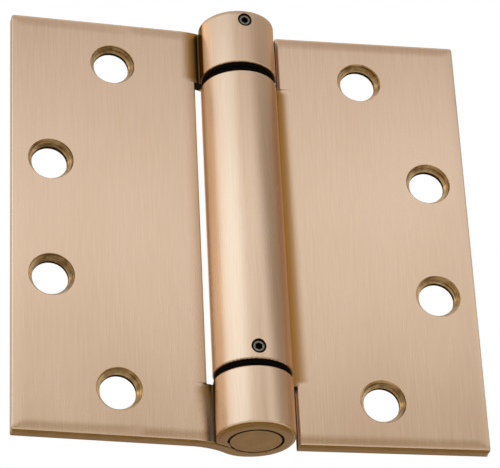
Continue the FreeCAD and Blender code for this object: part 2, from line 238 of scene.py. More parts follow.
def painted_shade_edge():
    material, sheet = new_finish("painted_shade_dark")
    place = object_place(sheet)
    scale = place.noise((600, 600, 600), 3.0)
    colour = scale.ramped(0.3, 0.7).blended((0.008, 0.004, 0.002, 1.0), (0.040, 0.020, 0.009, 1.0))
    dull = {"Specular IOR Level": 0.02, "Specular Tint": (0.30, 0.16, 0.08, 1.0)}
    close_finish(sheet, colour, 0.0, scale * 0.2 + 0.45, scale, 20e-6, dull)
    return material


# %% [markdown]
# A countersink is cut by a turning tool, which leaves rings that run round the hole. On a
# leaf every ring lies level with the leaf's face, so noise that changes quickly through the
# thickness and slowly along the face draws them. The left leaf is turned a few degrees about
# the pin, and its pattern is turned back by as much.

# %% Machined countersinks
def countersink_bronze(name, turn):
    material, sheet = new_finish(name)
    place = object_place(sheet, turn)
    rings = place.noise((90, 3600, 90), 3.0)
    stain = place.noise((700, 700, 700), 3.0)
    tone = rings * 0.7 + stain * 0.3
    # rings run dark to light; the cone is also set darker than the face, as painted shade in the recess
    colour = tone.ramped(0.37, 0.63).blended((0.16, 0.09, 0.033, 1.0), (0.70, 0.48, 0.23, 1.0))
    roughness = 0.25 + rings * 0.16
    close_finish(sheet, colour, 1.0, roughness, rings, 30e-6)
    return material


# %% [markdown]
# The plugs in the ends of the hinge are turned bronze. Their tool marks are circles about the
# pin, so this noise reads only the distance from the pin, found with Vector Math, and height.

# %% Turned bronze of the plugs
def turned_bronze():
    material, sheet = new_finish("turned_bronze")
    place = object_place(sheet)
    distance = place.vector("MULTIPLY", (1, 1, 0)).vector("LENGTH", (0, 0, 0), "Value")
    height = place.vector("DOT_PRODUCT", (0, 0, 1), "Value")
    across = sheet.node("ShaderNodeCombineXYZ", {}, {"X": distance, "Z": height})
    circles = across.noise((5200, 1, 2600), 2.0)
    stain = place.noise((350, 350, 350), 2.0)
    tone = circles * 0.5 + stain * 0.5
    colour = tone.ramped(0.3, 0.7).blended((0.23, 0.120, 0.026, 1.0), (0.32, 0.175, 0.043, 1.0))
    roughness = 0.26 + circles * 0.14 + stain * 0.05
    close_finish(sheet, colour, 1.0, roughness, circles, 15e-6)
    return material


# %% [markdown]
# The bands between the knuckles are moulded black nylon: dark, half matt, with a trace of
# the mould's turning marks. The washer above them is blackened steel, dull with oil and as
# dark. The set screws are steel with a black oxide finish, which is still metal, so it takes
# a grey sheen from the pale studio.

# %% Black nylon and black oxide steel
hardly_shiny = {"Specular IOR Level": 0.02}


def black_nylon():
    material, sheet = new_finish("black_nylon")
    place = object_place(sheet)
    skin = place.noise((2400, 2400, 2400), 3.0)
    marks = place.noise((200, 200, 7000), 1.0)
    colour = skin.blended((0.0010, 0.0008, 0.0008, 1.0), (0.0030, 0.0025, 0.0022, 1.0))
    roughness = 0.50 + skin * 0.16
    close_finish(sheet, colour, 0.0, roughness, skin * 0.5 + marks * 0.5, 10e-6, hardly_shiny)
    return material


def black_washer():
    material, sheet = new_finish("black_oxide_washer")
    place = object_place(sheet)
    marks = place.noise((300, 300, 6000), 2.0)
    colour = marks.blended((0.0012, 0.0010, 0.0010, 1.0), (0.0040, 0.0032, 0.0028, 1.0))
    close_finish(sheet, colour, 0.0, marks * 0.14 + 0.44, marks, 10e-6, hardly_shiny)
    return material


def oxide_steel():
    material, sheet = new_finish("black_oxide_steel")
    place = object_place(sheet)
    skin = place.noise((1500, 1500, 1500), 3.0)
    wear = place.noise((5200, 900, 5200), 2.0)
    colour = wear.ramped(0.3, 0.65).blended((0.07, 0.075, 0.072, 1.0), (0.27, 0.28, 0.27, 1.0))
    roughness = 0.26 + skin * 0.16
    close_finish(sheet, colour, 0.9, roughness, skin, 10e-6)
    return material


# %% [markdown]
# What lies inside the barrel is not in sight, but it is still given its own finish, so that
# it looks right when the hinge is taken apart: oiled spring wire, plain turned steel, and
# sintered bronze with its open pores.

# %% Finishes of the hidden pieces
def spring_steel():
    material, sheet = new_finish("spring_steel_oiled")
    place = object_place(sheet)
    oil = place.noise((180, 180, 180), 3.0)
    drawn = place.noise((3800, 3800, 3800), 2.0)
    colour = oil.ramped(0.35, 0.65).blended((0.19, 0.185, 0.18, 1.0), (0.36, 0.36, 0.37, 1.0))
    roughness = 0.26 + oil * 0.12 + drawn * 0.08
    close_finish(sheet, colour, 1.0, roughness, drawn, 12e-6)
    return material


def plain_steel():
    material, sheet = new_finish("plain_turned_steel")
    place = object_place(sheet)
    marks = place.noise((300, 300, 6500), 2.0)
    cloud = place.noise((260, 260, 260), 2.0)
    colour = cloud.blended((0.42, 0.42, 0.43, 1.0), (0.60, 0.60, 0.61, 1.0))
    roughness = 0.26 + marks * 0.18
    close_finish(sheet, colour, 1.0, roughness, marks, 15e-6)
    return material


def sintered_bronze():
    material, sheet = new_finish("sintered_bronze")
    place = object_place(sheet)
    cells = {"Vector": place, "Scale": 3600.0}
    pores = sheet.node("ShaderNodeTexVoronoi", {}, cells, "Distance").ramped(0.05, 0.4)
    cloud = place.noise((500, 500, 500), 2.0)
    colour = (pores * 0.7 + cloud * 0.3).blended((0.12, 0.075, 0.04, 1.0), (0.50, 0.33, 0.17, 1.0))
    roughness = 0.62 - pores * 0.14
    close_finish(sheet, colour, 0.9, roughness, pores, 40e-6)
    return material


# %% [markdown]
# Every finish is made once and shared by the pieces that wear it. Only the countersinks of
# the left leaf have their own, turned back by the angle through which that leaf has swung.

# %% All the finishes
open_turn = math.radians(180 - 175.9)
bronze = satin_bronze()
edge_finish_and_shade = edge_bronze()
painted_shade = painted_shade_edge()
sink_right = countersink_bronze("countersink_right", 0.0)
sink_left = countersink_bronze("countersink_left", -open_turn)
plug_finish = turned_bronze()
nylon = black_nylon()
oxide = oxide_steel()
washer_black = black_washer()
hidden_finish = {"spring_steel": spring_steel(), "plain_steel": plain_steel(),
                 "sintered_bronze": sintered_bronze()}
print("finishes:", len(bpy.data.materials))

# %% [markdown]
# Modelling by hand means picking some faces and then doing one thing to them. These helpers
# are the picking: they clear the old selection, open one piece, and select what passes a
# test of its place. Numbers in the tests are millimetres, which are easier to think in here.

# %% Picking by hand
def stand_alone(piece):
    bpy.ops.object.select_all(action="DESELECT")
    piece.select_set(True)
    bpy.context.view_layer.objects.active = piece


def named(name):
    piece = bpy.context.active_object
    piece.name = name
    piece.data.name = name
    bpy.ops.object.transform_apply(location=True, rotation=True, scale=True)
    return piece


def open_mesh(piece, kind):
    stand_alone(piece)
    bpy.ops.object.mode_set(mode="EDIT")
    bpy.ops.mesh.select_mode(type=kind)


def close_mesh():
    bpy.ops.object.mode_set(mode="OBJECT")


def pick(piece, test, parts="faces"):
    bpy.ops.mesh.select_all(action="DESELECT")
    mesh = bmesh.from_edit_mesh(piece.data)
    for part in getattr(mesh, parts):
        if test(part):
            part.select_set(True)
    bmesh.update_edit_mesh(piece.data)


def centre_mm(face):
    return face.calc_center_median() / MM


def apply_modifier(piece, kind, **settings):
    modifier = piece.modifiers.new(kind.lower(), kind)
    for setting, value in settings.items():
        setattr(modifier, setting, value)
    stand_alone(piece)
    bpy.ops.object.modifier_apply(modifier=modifier.name)


def carve(piece, tool):
    apply_modifier(piece, "BOOLEAN", operation="DIFFERENCE", solver="EXACT", object=tool,
                   material_mode="TRANSFER")
    bpy.data.objects.remove(tool)


# %% [markdown]
# What is done last is the same for every piece.

# %% Finishing a piece
def wear(piece, *finishes):
    for finish in finishes:
        piece.data.materials.append(finish)


def smooth_over(piece, sharp_angle=32.0):
    stand_alone(piece)
    bpy.ops.object.shade_smooth_by_angle(angle=math.radians(sharp_angle))
    apply_modifier(piece, "WEIGHTED_NORMAL", keep_sharp=True, weight=80)
    faces = len(piece.data.polygons)
    print(piece.name, "faces", faces, "box mm", [round(size / MM, 2) for size in piece.dimensions])


def seat(piece, body, node):
    smooth_over(piece)
    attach(piece, body)
    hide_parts(node)


# %% [markdown]
# Turned pieces and drills are made as on a lathe: a disc is added, and its face is pulled
# out step by step and scaled to the next radius. A piece with a bore starts as a bare ring
# instead, goes round its whole section, and its last ring is bridged to its first.

# %% Turning on a lathe
def arc(radius, height, size, start, end, steps):
    points = []
    for step in range(steps + 1):
        turn = math.radians(start + (end - start) * step / steps)
        points.append((radius + size * math.cos(turn), height + size * math.sin(turn)))
    return points


def turned(name, section, sides=96, bored=False):
    bpy.ops.object.select_all(action="DESELECT")
    radius, height = section[0]
    fill = "NOTHING" if bored else "NGON"
    place = (0, 0, height * MM)
    bpy.ops.mesh.primitive_circle_add(vertices=sides, radius=radius * MM, fill_type=fill, location=place)
    piece = named(name)
    open_mesh(piece, "EDGE" if bored else "FACE")
    bpy.ops.mesh.select_all(action="SELECT")
    for next_radius, next_height in section[1:]:
        rise = (0, 0, (next_height - height) * MM)
        if bored:
            bpy.ops.mesh.extrude_edges_move(TRANSFORM_OT_translate={"value": rise})
        else:
            bpy.ops.mesh.extrude_region_move(TRANSFORM_OT_translate={"value": rise})
        grow = next_radius / radius
        bpy.ops.transform.resize(value=(grow, grow, 1), center_override=(0, 0, next_height * MM))
        radius, height = next_radius, next_height
    if bored:
        pick(piece, lambda edge: edge.is_boundary, "edges")
        bpy.ops.mesh.bridge_edge_loops()
    bpy.ops.mesh.select_all(action="SELECT")
    bpy.ops.mesh.normals_make_consistent(inside=False)
    close_mesh()
    return piece


def laid_over(piece, place, turn=0.0):
    """Turns a piece that was made along Z so that its start faces the finished side."""
    piece.rotation_euler = (math.radians(-90), 0, 0)
    piece.location = Vector(place) * MM
    stand_alone(piece)
    bpy.ops.object.transform_apply(location=True, rotation=True, scale=True)
    piece.rotation_euler = (0, 0, turn)
    bpy.ops.object.transform_apply(location=True, rotation=True, scale=True)
    return piece


# %% [markdown]
# Both leaves are cut from the same sheet, and these are its sizes in millimetres, all shared
# with the construction model. The sheet leaves the flat on one arc and rolls about the pin on
# a second, and the two arcs touch on the line between their centres.

# %% Sizes of the sheet
reach = 57.15
leaf_top = 57.15
sheet_thickness = 3.0
face_y = 1.9
back_y = face_y + sheet_thickness
inner_edge = 10.6
outer_radius = 9.525
bore_radius = outer_radius - sheet_thickness
roll_radius = outer_radius - sheet_thickness / 2
bend_radius = 17.0
bend_centre_y = face_y + sheet_thickness / 2 + bend_radius
centre_distance = roll_radius + bend_radius
bend_start = math.sqrt(centre_distance ** 2 - bend_centre_y ** 2)
bend_turn = math.degrees(math.atan2(bend_start, bend_centre_y))
lip_gap = 0.12
lip_tip = 0.25
stub_turn = 15.0
barrel_low, barrel_high = -40.2, 39.45
knuckle_low, knuckle_high = -41.85, 41.85
notch = 41.55
kerf = 0.02
polish_fall = 0.18
polish = ((3.4, 0.0), (2.5, 0.01), (1.8, 0.035), (1.1, 0.085), (0.0, polish_fall))
fold_rows = (0.5, 1.0, 1.6)
roll_start = 90 - bend_turn
lip_reach = bend_radius + sheet_thickness / 2 + lip_gap


def lip_turn(radius):
    """Degrees before the roll's start at which a circle about the pin meets the bend's gap."""
    square = radius ** 2 + centre_distance ** 2 - lip_reach ** 2
    return math.degrees(math.acos(square / (2 * radius * centre_distance)))


lip_start, lip_end = -lip_turn(outer_radius), -lip_turn(bore_radius + lip_tip)
print("bend turns", round(bend_turn, 2), "degrees, lip tapers from", round(lip_start, 2),
      "to", round(lip_end, 2))

# %% [markdown]
# A leaf starts as a block the size of its flat. It is cut across at each level where a
# knuckle begins or ends. The belt that brushed the leaf also wore its outline back, by up to
# a fifth of a millimetre at the very edge. That is put in first, a row at a time, while the
# block is still simple to cut.

# %% Flat of a leaf
def is_in_polish(vertex, width):
    x, y, z = vertex.co / MM
    from_outline = min(reach - x, leaf_top - abs(z))
    return y < face_y + 0.5 and abs(from_outline - width) < 0.01


def flat_of_leaf(name, levels):
    bpy.ops.object.select_all(action="DESELECT")
    middle = Vector(((bend_start + reach) / 2, face_y + sheet_thickness / 2, 0)) * MM
    size = Vector((reach - bend_start, sheet_thickness, 2 * leaf_top)) * MM
    bpy.ops.mesh.primitive_cube_add(size=1, location=middle, scale=size)
    piece = named(name)
    open_mesh(piece, "VERT")
    for level in levels:
        bpy.ops.mesh.select_all(action="SELECT")
        bpy.ops.mesh.bisect(plane_co=(0, 0, level * MM), plane_no=(0, 0, 1))
    for width, fall in polish[:-1]:
        bpy.ops.mesh.select_all(action="SELECT")
        bpy.ops.mesh.bisect(plane_co=((reach - width) * MM, 0, 0), plane_no=(1, 0, 0))
    for width, fall in polish:
        pick(piece, lambda vertex: is_in_polish(vertex, width), "verts")
        bpy.ops.transform.translate(value=(0, fall * MM, 0))
    bpy.ops.mesh.select_mode(type="FACE")
    return piece


# %% [markdown]
# The strips beside the knuckles are pulled out to the leaf's inner edge. The faces between
# them are spun: first all of them a short way about the bend's centre, and then only those at
# the knuckle's own levels, which leaves a small stub of the bend above and below it.

# %% Strips and spins
def faces_inwards(face, low, high):
    place = centre_mm(face)
    return abs(place.x - bend_start) < 0.01 and low < place.z < high


def spin_picked(turn, centre_x, centre_y, steps):
    """The spin operator counts a turn the other way round from a rotation about +Z."""
    centre = (centre_x * MM, centre_y * MM, 0)
    bpy.ops.mesh.spin(steps=steps, angle=-math.radians(turn), center=centre, axis=(0, 0, 1))


def picked_levels(piece, low, high):
    mesh = bmesh.from_edit_mesh(piece.data)
    for face in mesh.faces:
        if face.select and not low < centre_mm(face).z < high:
            face.select_set(False)
    bmesh.update_edit_mesh(piece.data)


def pull_strip(piece, low, high):
    pick(piece, lambda face: faces_inwards(face, low, high))
    step = (inner_edge - bend_start) * MM
    bpy.ops.mesh.extrude_region_move(TRANSFORM_OT_translate={"value": (step, 0, 0)})


# %% [markdown]
# The roll closes against the back of its own bend. Its last part is a lip that thins to a
# tip, so that it lies along the bend with only a hair's gap. The lip is drawn on a step at a
# time: its end face is turned on about the pin, and then its outer points alone move in.

# %% Tapered lip
def lip_radius(turn):
    """The outside of the lip, where it lies along the bend with a hair's gap between them."""
    slant = math.radians(turn)
    across = centre_distance * math.sin(slant)
    return centre_distance * math.cos(slant) - math.sqrt(lip_reach ** 2 - across ** 2)


def keep_outer_points(piece):
    mesh = bmesh.from_edit_mesh(piece.data)
    chosen = [vertex for vertex in mesh.verts if vertex.select]
    for vertex in chosen:
        if vertex.co.xy.length / MM < bore_radius + 0.1:
            vertex.select_set(False)
    mesh.select_flush_mode()
    bmesh.update_edit_mesh(piece.data)


def faces_along(face, turn):
    place, slant = centre_mm(face), math.radians(roll_start + turn)
    ahead = face.normal.y * math.cos(slant) - face.normal.x * math.sin(slant)
    return ahead > 0.999 and abs(place.y * math.cos(slant) - place.x * math.sin(slant)) < 0.01


def taper_lip(piece, steps):
    last_radius = outer_radius
    for step in range(1, steps + 1):
        turn = lip_start + (lip_end - lip_start) * step / steps
        bpy.ops.mesh.extrude_region_move(TRANSFORM_OT_translate={"value": (0, 0, 0)})
        spin_on = math.radians((lip_end - lip_start) / steps)
        bpy.ops.transform.rotate(value=-spin_on, orient_axis="Z", center_override=(0, 0, 0))
        keep_outer_points(piece)
        grow = lip_radius(turn) / last_radius
        bpy.ops.transform.resize(value=(grow, grow, 1), center_override=(0, 0, 0))
        last_radius = lip_radius(turn)
        pick(piece, lambda face: faces_along(face, turn))


# %% [markdown]
# With these helpers each leaf is rolled in a few lines. The right leaf has one long knuckle
# in the middle, and the left one has a short knuckle at each end. A few more rows are cut
# near the ends of the folds, to hold the painted shade that is laid on them later.

# %% Both leaves rolled
stub_steps, bend_steps, roll_steps, lip_steps = 5, 7, 108, 8


def roll_knuckle(piece, low, high, roll_low, roll_high):
    pick(piece, lambda face: faces_inwards(face, low, high))
    spin_picked(-stub_turn, bend_start, bend_centre_y, stub_steps)
    picked_levels(piece, roll_low, roll_high)
    spin_picked(stub_turn - bend_turn, bend_start, bend_centre_y, bend_steps)
    spin_picked(360 + lip_start, 0, 0, roll_steps)
    taper_lip(piece, lip_steps)


def closed_sheet(piece):
    bpy.ops.mesh.select_all(action="SELECT")
    bpy.ops.mesh.remove_doubles(threshold=0.001 * MM)
    bpy.ops.mesh.normals_make_consistent(inside=False)
    close_mesh()


def both_ways(heights):
    return list(heights) + [-height for height in heights]


end_rows = both_ways([leaf_top - width for width, fall in polish[:-1]])
barrel_rows = both_ways([notch, notch + kerf] + [notch - row for row in fold_rows])
barrel_leaf = flat_of_leaf("leaf_with_barrel", end_rows + barrel_rows + [barrel_high, barrel_low])
pull_strip(barrel_leaf, notch + kerf, leaf_top)
pull_strip(barrel_leaf, -leaf_top, -notch - kerf)
roll_knuckle(barrel_leaf, -notch, notch, barrel_low, barrel_high)
closed_sheet(barrel_leaf)

knuckle_rows = both_ways([knuckle_high, knuckle_high - kerf] + [knuckle_high + row for row in fold_rows])
knuckle_leaf = flat_of_leaf("leaf_with_knuckles", end_rows + knuckle_rows)
pull_strip(knuckle_leaf, knuckle_low + kerf, knuckle_high - kerf)
roll_knuckle(knuckle_leaf, knuckle_high, leaf_top, knuckle_high, leaf_top)
pick(knuckle_leaf, lambda face: False)
roll_knuckle(knuckle_leaf, -leaf_top, knuckle_low, -leaf_top, knuckle_low)
closed_sheet(knuckle_leaf)
print("leaf faces before rounding:", len(barrel_leaf.data.polygons), len(knuckle_leaf.data.polygons))

# %% [markdown]
# A Bevel modifier rounds each edge by its own weight. The rims at the ends of the hinge are
# rounded most, then the front outline, which the belt went over, and then the rims beside
# the bearings. Every other edge is only broken, as a sheared edge is after dressing. The
# functions below answer by how much, from where the middle of the edge lies.

# %% How far each edge is rounded
bottom_rim, top_rim, front_rim, side_rim, corner = 1.1, 0.4, 0.7, 0.3, 0.8
bearing_rim, strip_rim, broken = 0.4, 0.9, 0.15
thin_tip = bore_radius + 0.6
sharpest = math.radians(25)


def flat_round(place, at_end):
    at_side = place.x > reach - 0.01
    if at_side and at_end:
        return corner
    if place.y > face_y + polish_fall + 0.01:
        return broken
    if at_end:
        return front_rim
    return side_rim if at_side else broken


def strip_round(place, at_end):
    on_front = place.y < face_y + polish_fall + 0.01
    if at_end:
        return front_rim if on_front else broken
    return strip_rim if on_front and place.x < inner_edge + 0.01 else 0.0


def knuckle_round(place, at_end):
    from_pin = math.hypot(place.x, place.y)
    turn = math.degrees(math.atan2(place.y, place.x)) % 360
    if from_pin > outer_radius + 0.05:
        from_bend = math.hypot(place.x - bend_start, place.y - bend_centre_y)
        return front_rim if at_end and from_bend > bend_radius else broken
    if from_pin < outer_radius - 0.1:
        return 0.1 if from_pin < thin_tip else broken
    full = bearing_rim
    if at_end:
        full = top_rim if place.z > 0 else bottom_rim
    past_bend = min(max((turn - 60) / 40, 0), 1)
    return full if turn < 30 else broken + (full - broken) * past_bend


def edge_round(edge, in_strip):
    if len(edge.link_faces) != 2 or edge.calc_face_angle_signed() < sharpest:
        return 0.0
    first, second = (vertex.co / MM for vertex in edge.verts)
    middle = (first + second) / 2
    at_end = abs(middle.z) > leaf_top - 0.01
    upright = abs(second.z - first.z) > 0.01
    if middle.x > bend_start + 0.01:
        return flat_round(middle, at_end)
    if middle.x > bend_start - 0.01:
        return 0.0
    if in_strip(middle.z) and middle.x > inner_edge - 0.01:
        return strip_round(middle, at_end)
    if notch - 0.1 < abs(middle.z) < knuckle_high + 0.1 and middle.x > inner_edge + 0.1:
        return 0.0
    if upright:
        return broken if middle.xy.length > thin_tip else 0.0
    return knuckle_round(middle, at_end)


# %% [markdown]
# Each face of a leaf has one of three finishes: the brushed skin of the sheet, its dressed
# edges or painted shade, which is near black. They are told apart by place and slope before
# the bevel, and the bevel hands them on to the roundings. Two kinds of rounding are then put
# right: the belt brushed the front of the inner edge, and the ends of the leaf were dressed
# round to the face.

# %% Which finish a face gets
def finish_number(face, inner_finish):
    """Nought for the skin of the sheet, one for its dressed edges and two for painted shade."""
    place, normal = centre_mm(face), face.normal
    from_pin = place.xy.length
    level = abs(normal.z) > 0.9
    at_notch = level and abs(place.z) < leaf_top - 0.1 and from_pin > outer_radius
    across = abs(normal.x * place.x + normal.y * place.y) / from_pin
    at_lip = abs(normal.z) < 0.1 and from_pin < outer_radius - 0.1 and across < 0.9 and place.x < bend_start
    if abs(place.x - inner_edge) < 0.01:
        return inner_finish
    if at_notch:
        return 2 if place.x < inner_edge else 0
    if at_lip and place.y > 0 and place.x > 0:
        return 2
    return 1 if level or place.x > reach - 0.01 else 0


# %% Bevel and finish of both leaves
rounding_steps = 5
turned_to_front, turned_to_end = -0.2, 0.35


def round_edges(piece, in_strip, inner_finish):
    wear(piece, bronze, edge_finish_and_shade, painted_shade)
    mesh = bmesh.new()
    mesh.from_mesh(piece.data)
    weight = mesh.edges.layers.float.new("bevel_weight_edge")
    for edge in mesh.edges:
        edge[weight] = edge_round(edge, in_strip) / bottom_rim
    for face in mesh.faces:
        face.material_index = finish_number(face, inner_finish)
    mesh.to_mesh(piece.data)
    mesh.free()
    apply_modifier(piece, "BEVEL", limit_method="WEIGHT", width=bottom_rim * MM,
                   segments=rounding_steps, use_clamp_overlap=False)
    for face in piece.data.polygons:
        place = face.center / MM
        at_inner_edge = place.x > inner_edge - 0.01 and face.normal.y < turned_to_front
        at_end = abs(place.z) > leaf_top - bottom_rim and abs(face.normal.z) > turned_to_end
        if face.material_index == 2 and at_inner_edge:
            face.material_index = 0
        # the end roundings take the darker edge colour, which is partly painted shade
        if face.material_index == 0 and at_end:
            face.material_index = 1


round_edges(barrel_leaf, lambda z: abs(z) > notch + kerf / 2, 2)
round_edges(knuckle_leaf, lambda z: abs(z) < knuckle_high - kerf / 2, 1)
print("leaf faces after rounding:", len(barrel_leaf.data.polygons), len(knuckle_leaf.data.polygons))

# %% [markdown]
# The screw holes are cut with a drill that has the whole shape of the hole: a softened mouth,
# the cone of the countersink, the plain hole and a small break where the drill came out. The
# cut faces take the drill's own materials: the countersinks get their machined finish, and
# the plain hole below them is painted dark as shade. Two holes stand near the knuckles and
# far apart, and two near the outer side, closer together.

# %% Countersunk screw holes
hole_radius = 8.85 / 2
sink_radius = 11.1 / 2
sink_depth = 1.9
sink_slope = (sink_radius - hole_radius) / sink_depth
mouth_round = 0.14
exit_break = 0.15
near_hole = (reach - 25.4, leaf_top - 12.3)
far_hole = (reach - 9.55, 15.875)


def hole_section():
    last_turn = 90 - math.degrees(math.atan(sink_slope))
    fall = math.radians(last_turn)
    mouth_radius = sink_radius + mouth_round * (math.sin(fall) - sink_slope * (1 - math.cos(fall)))
    section = [(mouth_radius + 0.5, -0.05)]
    for turn in (10, last_turn * 0.5, last_turn):
        slant = math.radians(turn)
        section.append((mouth_radius - mouth_round * math.sin(slant), mouth_round * (1 - math.cos(slant))))
    section.append((hole_radius, sink_depth))
    section.append((hole_radius, sheet_thickness - exit_break))
    section.append((hole_radius + 0.5, sheet_thickness - exit_break + 0.5))
    return section


def drill_set(name, finish):
    drills = []
    for side in (-1, 1):
        for x, z in (near_hole, far_hole):
            drill = turned(name, hole_section())
            wear(drill, finish, painted_shade)
            for face in drill.data.polygons:
                # the plain hole below the cone is painted dark as shade
                face.material_index = 1 if face.center.z / MM > sink_depth else 0
            laid_over(drill, (x, face_y, side * z))
            drills.append(drill)
    stand_alone(drills[0])
    for drill in drills:
        drill.select_set(True)
    bpy.ops.object.join()
    return drills[0]


carve(barrel_leaf, drill_set("drills", sink_right))
carve(knuckle_leaf, drill_set("drills", sink_left))

# %% [markdown]
# Each set screw stands in a plain hole in the front of its knuckle, so the hole is cut from
# the front with a bare cylinder whose mouth is barely broken. Its wall and mouth are painted
# dark as shade, as a dark ring round the screw.

# %% Holes for the set screws
screw_radius = 1.75
top_screw_z = leaf_top - 2.7
barrel_screw_z = barrel_low + 3.3


def screw_drill(z):
    hole = screw_radius + 0.02
    section = [(screw_radius + 0.40, -0.3), (screw_radius + 0.06, 0.10), (hole, 0.3), (hole, 4.0)]
    drill = turned("screw_drill", section, 48)
    wear(drill, painted_shade)
    return laid_over(drill, (0, -outer_radius, z))


carve(barrel_leaf, screw_drill(barrel_screw_z))
carve(knuckle_leaf, screw_drill(top_screw_z))

# %% [markdown]
# The second leaf is the same sheet turned over, so it is mirrored and then swung to the angle
# of the photograph. Mirroring turns the faces inside out, and they are made consistent again.

# %% Left leaf in its place
stand_alone(knuckle_leaf)
knuckle_leaf.scale = (-1, 1, 1)
bpy.ops.object.transform_apply(location=True, rotation=True, scale=True)
knuckle_leaf.rotation_euler = (0, 0, open_turn)
bpy.ops.object.transform_apply(location=True, rotation=True, scale=True)
open_mesh(knuckle_leaf, "FACE")
bpy.ops.mesh.select_all(action="SELECT")
bpy.ops.mesh.normals_make_consistent(inside=False)
close_mesh()

# %% [markdown]
# The folds beside the knuckles, and the few degrees of roll that face them, are given painted
# shade, point by point, from sums of place alone. Two helpers keep the sums short: one eases
# a number from nought to one, and one mixes two.

# %% Easing and mixing
def eased(value):
    value = min(max(value, 0.0), 1.0)
    return value * value * (3 - 2 * value)


def mixed(first, second, share):
    return first + (second - first) * share


# %% [markdown]
# A point lies in a fold when it is outside the roll and between the pin and the start of the
# bend. Its painted shade then follows how far it is to the side of the pin. A point on the
# skin of the roll is painted black as shade up to some degrees past the slit, and fades over
# the next eight. Towards the ends of a knuckle both run out into open metal.

# %% Painting the shade of the folds
slit_turn, fade_turn = 15.6, 8
skin_depth = 1.2
run_out = 1.6
rim_run_out = -0.6


def paint_crease_shade(piece, hand, turn_back, in_fold, fold_share, rim_turn):
    layer = piece.data.attributes.new("crease_shade", "FLOAT", "POINT")
    turn_back = Quaternion((0, 0, 1), turn_back)
    for number, vertex in enumerate(piece.data.vertices):
        place = (turn_back @ vertex.co) / MM
        aside, height, from_pin = place.x * hand, place.z, place.xy.length
        inside = in_fold(abs(height))
        on_skin = outer_radius - skin_depth < from_pin < outer_radius + 0.03
        share = 1.0
        if inside > -0.01 and outer_radius + 0.02 < from_pin and 0 < aside < bend_start:
            fold = 1 - eased((aside - 10.3) / 1.4) * (1 - eased(inside))
            share = mixed(1.0, fold_share(aside, height), fold)
        # painted shade: black on the roll's skin beside the slit, fading further round
        elif inside > rim_run_out and on_skin and aside > 0:
            turn = math.degrees(math.atan2(place.y, aside))
            if turn < slit_turn + 1:
                share = eased((slit_turn - rim_turn(height) - turn) / fade_turn)
        layer.data[number].value = share


# %% [markdown]
# The painted shade differs between the folds. The barrel's is broad and warm brown, darkest at
# its top, and a painted reflection of the barrel makes it pale again close to the barrel. The
# knuckles' is narrow and goes to black at the slit, but near the bottom of the hinge, where
# light comes in from below, it stays brown.

# %% Shares of the two leaves
def barrel_fold(height):
    return (notch - height) / run_out


def knuckle_fold(height):
    return (height - knuckle_high) / run_out


def barrel_rim_shade(height):
    return 16 * eased((height - 26) / 12) - 8


def knuckle_rim_shade(height):
    return 25 if height > 0 else 20 - 6 * eased((-height - 43) / 8)


def barrel_share(aside, height):
    near_top = eased((height - 22) / 14)
    width = mixed(3.1, 4.49, eased((20 - height) / 45))
    floor = 0.25 - 0.13 * near_top
    # painted reflection of the barrel, making the fold paler close to it
    painted_barrel_reflection = 0.5 * (1 - near_top) * (1 - eased((aside - 9.5) / 1.2))
    return mixed(floor, 1.0, min(max((aside - 10) / width, 0), 1) ** 1.4) + painted_barrel_reflection


def knuckle_share(aside, height):
    across = min(max((aside - 9.45) / 5.04, 0), 1)
    near_end = eased((-height - 41) / 9)
    return mixed(0.06 + 0.75 * across + 0.19 * across ** 3, min(0.40 + 2.4 * across, 1), near_end)


paint_crease_shade(barrel_leaf, 1, 0.0, barrel_fold, barrel_share, barrel_rim_shade)
paint_crease_shade(knuckle_leaf, -1, -open_turn, knuckle_fold, knuckle_share, knuckle_rim_shade)
seat(barrel_leaf, "barrel_leaf", "barrel_leaf")
seat(knuckle_leaf, "knuckle_leaf", "knuckle_leaf")

# %% [markdown]
# Between the knuckles sit a flanged nylon bush above the barrel, with a hard black washer on
# it, and a second bush below. Only their rims show, as the two black bands.

# %% Black bands
running_room, seat_room, turning_room, thrust_room = 0.08, 0.02, 0.3, 0.15
band_radius = outer_radius - 0.275
band_height = 1.15
upper_spigot, lower_spigot = 6.0, 1.0
thrust_washer = 0.8
journal_radius = 4.0
journal_bore = journal_radius + running_room
rim = 0.25


def flange_rim(low, high):
    lower = arc(band_radius - rim, low + rim, rim, -90, 0, 4)
    upper = arc(band_radius - rim, high - rim, rim, 0, 90, 4)
    return lower + upper


def bush(name, flange_low, flange_high, spigot_end):
    spigot_radius = bore_radius - seat_room
    spigot = [(journal_bore, spigot_end), (spigot_radius, spigot_end)]
    if spigot_end < flange_low:
        section = spigot + [(spigot_radius, flange_low)] + flange_rim(flange_low, flange_high)
        section += [(journal_bore, flange_high)]
    else:
        section = [(journal_bore, flange_low)] + flange_rim(flange_low, flange_high)
        section += [(spigot_radius, flange_high), (spigot_radius, spigot_end)]
        section += [(journal_bore, spigot_end)]
    piece = turned(name, section, 128, bored=True)
    wear(piece, nylon)
    return piece


upper_bush = bush("upper_band_bush", barrel_high, barrel_high + band_height, barrel_high - upper_spigot)
seat(upper_bush, "barrel_leaf", "upper_bearing")
lower_bush = bush("lower_band_bush", knuckle_low + thrust_room, barrel_low, barrel_low + lower_spigot)
seat(lower_bush, "barrel_leaf", "lower_bearing")

washer_low = barrel_high + band_height + thrust_room
washer_bore = journal_radius + turning_room
washer_section = [(washer_bore, washer_low)] + flange_rim(washer_low, knuckle_high)
washer_section += [(washer_bore, knuckle_high)]
band_washer = turned("upper_band_washer", washer_section, 128, bored=True)
wear(band_washer, washer_black)
seat(band_washer, "knuckle_leaf", "upper_bearing_washer")
